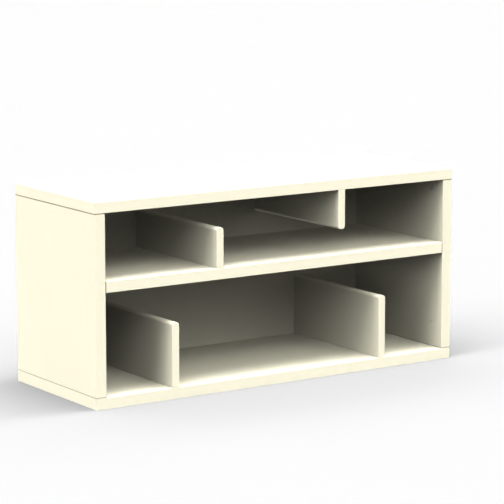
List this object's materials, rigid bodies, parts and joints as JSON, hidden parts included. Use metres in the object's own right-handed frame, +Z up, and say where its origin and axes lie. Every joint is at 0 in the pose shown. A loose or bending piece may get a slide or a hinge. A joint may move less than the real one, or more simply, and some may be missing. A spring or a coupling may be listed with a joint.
{
  "type": "desk hutch",
  "caption": "Open desk hutch of laminated boards: flat top and bottom, a shelf, part-height dividers with rounded free edges, inset back panel and knock-down fittings.",
  "frame": {"origin": "on the desk, under the centre of the hutch's width and depth", "axes": "+X to the right seen from the front, +Y to the back, +Z up; the open front faces -Y"},
  "size_m": [0.96, 0.35, 0.45],
  "materials": {
    "carcass_laminate": "satin cream laminate on particle board",
    "divider_laminate": "satin cream laminate on particle board",
    "back_lacquer": "cream lacquered fibreboard",
    "zinc": "die-cast zinc, as cast",
    "steel": "zinc-plated steel",
    "beech": "bare beech"
  },
  "bodies": {
    "carcass": {"top_board": "carcass_laminate", "bottom_board": "carcass_laminate", "left_side_panel": "carcass_laminate", "right_side_panel": "carcass_laminate", "middle_shelf": "carcass_laminate", "lower_left_divider": "divider_laminate", "lower_right_divider": "divider_laminate", "upper_left_divider": "divider_laminate", "hanging_divider": "divider_laminate", "back_panel": "back_lacquer", "left_front_cam_bolt": "steel", "left_rear_cam_bolt": "steel", "shelf_left_front_cam_bolt": "steel", "shelf_left_rear_cam_bolt": "steel", "right_front_cam_bolt": "steel", "right_rear_cam_bolt": "steel", "shelf_right_front_cam_bolt": "steel", "shelf_right_rear_cam_bolt": "steel", "hanging_cam_bolt": "steel", "top_left_front_dowel": "beech", "top_left_rear_dowel": "beech", "top_right_front_dowel": "beech", "top_right_rear_dowel": "beech", "bottom_left_front_dowel": "beech", "bottom_left_rear_dowel": "beech", "bottom_right_front_dowel": "beech", "bottom_right_rear_dowel": "beech", "shelf_left_front_dowel": "beech", "shelf_left_rear_dowel": "beech", "shelf_right_front_dowel": "beech", "shelf_right_rear_dowel": "beech", "hanging_front_dowel": "beech", "hanging_rear_dowel": "beech", "bottom_left_front_screw": "steel", "bottom_left_rear_screw": "steel", "bottom_right_front_screw": "steel", "bottom_right_rear_screw": "steel", "lower_left_front_screw": "steel", "lower_left_rear_screw": "steel", "lower_right_front_screw": "steel", "lower_right_rear_screw": "steel", "upper_left_front_screw": "steel", "upper_left_rear_screw": "steel"},
    "left_front_cam": {"left_front_cam": "zinc"},
    "left_rear_cam": {"left_rear_cam": "zinc"},
    "shelf_left_front_cam": {"shelf_left_front_cam": "zinc"},
    "shelf_left_rear_cam": {"shelf_left_rear_cam": "zinc"},
    "right_front_cam": {"right_front_cam": "zinc"},
    "right_rear_cam": {"right_rear_cam": "zinc"},
    "shelf_right_front_cam": {"shelf_right_front_cam": "zinc"},
    "shelf_right_rear_cam": {"shelf_right_rear_cam": "zinc"},
    "hanging_cam": {"hanging_cam": "zinc"}
  },
  "joints": [
    {"name": "left_front_cam_turn", "type": "hinge", "parent": "carcass", "child": "left_front_cam", "pos_m": [-0.4675, -0.13, 0.401], "axis": [1, 0, 0], "range_deg": [0, 180]},
    {"name": "left_rear_cam_turn", "type": "hinge", "parent": "carcass", "child": "left_rear_cam", "pos_m": [-0.4675, 0.13, 0.401], "axis": [1, 0, 0], "range_deg": [0, 180]},
    {"name": "shelf_left_front_cam_turn", "type": "hinge", "parent": "carcass", "child": "shelf_left_front_cam", "pos_m": [-0.431, -0.13, 0.2655], "axis": [0, 0, -1], "range_deg": [0, 180]},
    {"name": "shelf_left_rear_cam_turn", "type": "hinge", "parent": "carcass", "child": "shelf_left_rear_cam", "pos_m": [-0.431, 0.12, 0.2655], "axis": [0, 0, -1], "range_deg": [0, 180]},
    {"name": "right_front_cam_turn", "type": "hinge", "parent": "carcass", "child": "right_front_cam", "pos_m": [0.4675, -0.13, 0.401], "axis": [-1, 0, 0], "range_deg": [0, 180]},
    {"name": "right_rear_cam_turn", "type": "hinge", "parent": "carcass", "child": "right_rear_cam", "pos_m": [0.4675, 0.13, 0.401], "axis": [-1, 0, 0], "range_deg": [0, 180]},
    {"name": "shelf_right_front_cam_turn", "type": "hinge", "parent": "carcass", "child": "shelf_right_front_cam", "pos_m": [0.431, -0.13, 0.2655], "axis": [0, 0, -1], "range_deg": [0, 180]},
    {"name": "shelf_right_rear_cam_turn", "type": "hinge", "parent": "carcass", "child": "shelf_right_rear_cam", "pos_m": [0.431, 0.12, 0.2655], "axis": [0, 0, -1], "range_deg": [0, 180]},
    {"name": "hanging_cam_turn", "type": "hinge", "parent": "carcass", "child": "hanging_cam", "pos_m": [0.164, -0.009, 0.401], "axis": [-1, 0, 0], "range_deg": [0, 180]}
  ]
}
